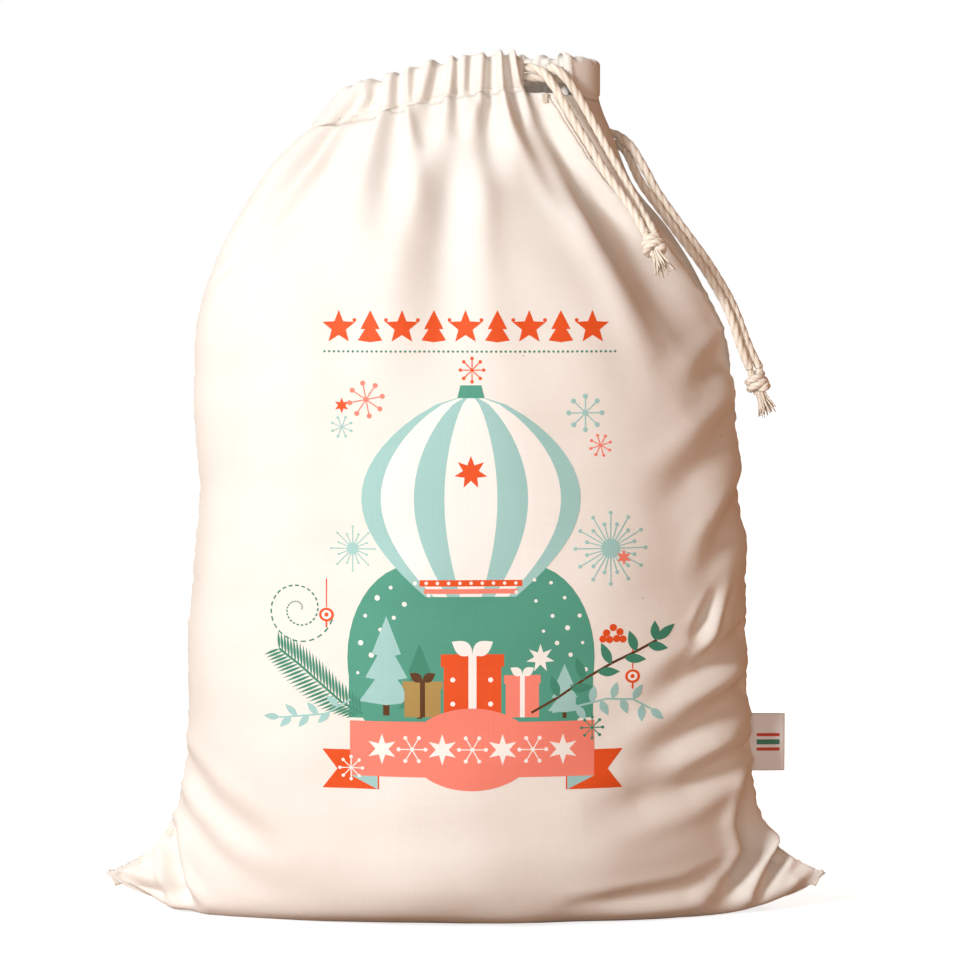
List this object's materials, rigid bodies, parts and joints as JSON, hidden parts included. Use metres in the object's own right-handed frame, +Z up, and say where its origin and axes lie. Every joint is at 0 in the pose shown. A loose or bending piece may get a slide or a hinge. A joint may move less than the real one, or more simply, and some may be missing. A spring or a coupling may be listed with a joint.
{
  "type": "fabric gift sack",
  "caption": "Free-standing cream cotton drawstring gift sack with a gathered mouth, sewn cord casings, knotted drawcords and a folded side label.",
  "frame": {"origin": "middle of the sack's footprint, on the surface it stands on", "axes": "+Z up, +X to the right seen from the printed front, -Y out of the printed front"},
  "size_m": [0.5, 0.2482, 0.59],
  "materials": {
    "cotton": "natural unbleached cotton, plain weave with small seed flecks",
    "seam_cotton": "raw doubled cotton of the seam allowance",
    "cord": "soft twisted cotton cord",
    "frayed_cord": "loose frayed cotton yarns",
    "thread": "cotton sewing thread",
    "label_tape": "smooth white satin tape",
    "print_ink": "soft matt screen-print ink"
  },
  "bodies": {
    "sack": {"front_panel": "cotton", "back_panel": "cotton", "left_side_seam": "seam_cotton", "right_side_seam": "seam_cotton", "bottom_seam": "seam_cotton", "left_seam_stitching": "thread", "right_seam_stitching": "thread", "bottom_seam_stitching": "thread", "left_bartack": "thread", "right_bartack": "thread", "back_casing": "cotton", "back_casing_stitching": "thread", "left_cord_back_run": "cord", "right_cord_back_run": "cord", "left_cord_crossing": "cord", "right_cord_crossing": "cord", "left_wrap_upper": "cord", "left_wrap_lower": "cord"},
    "front_lip": {"front_casing": "cotton", "front_casing_stitching": "thread", "left_cord_front_run": "cord", "right_cord_front_run": "cord"},
    "right_tails": {"right_tail_front": "cord", "right_tail_back": "cord"},
    "right_knot": {"right_knot": "cord", "right_tuft": "frayed_cord"},
    "left_tails": {"left_tail_front": "cord", "left_tail_back": "cord"},
    "left_knot": {"left_knot": "cord", "left_tuft": "frayed_cord"},
    "side_label": {"side_label": "label_tape"}
  },
  "joints": [
    {"name": "front_lip_tilt", "type": "hinge", "parent": "sack", "child": "front_lip", "pos_m": [-0.073, 0.008, 0.54], "axis": [0.9352, -0.2921, 0.2001], "range_deg": [0, 12], "stiffness_Nm_per_rad": 0.1},
    {"name": "right_tails_swing", "type": "hinge", "parent": "sack", "child": "right_tails", "pos_m": [0.04, -0.027, 0.5803], "axis": [-0.9582, -0.2811, 0.054], "range_deg": [0, 60]},
    {"name": "right_knot_pull", "type": "slide", "parent": "right_tails", "child": "right_knot", "axis": [0.3, -0.4, -0.866], "range_m": [0, 0.04]},
    {"name": "left_tails_swing", "type": "hinge", "parent": "sack", "child": "left_tails", "pos_m": [0.0975, 0.0205, 0.5385], "axis": [-0.1702, -0.9813, 0.0901], "range_deg": [0, 42]},
    {"name": "left_knot_pull", "type": "slide", "parent": "left_tails", "child": "left_knot", "axis": [0.2, 0, -0.9798], "range_m": [0, 0.04]},
    {"name": "label_flap", "type": "hinge", "parent": "sack", "child": "side_label", "pos_m": [0.19955, 0, 0.096], "axis": [-0.097, 0, 0.9953], "range_deg": [-70, 70]}
  ]
}
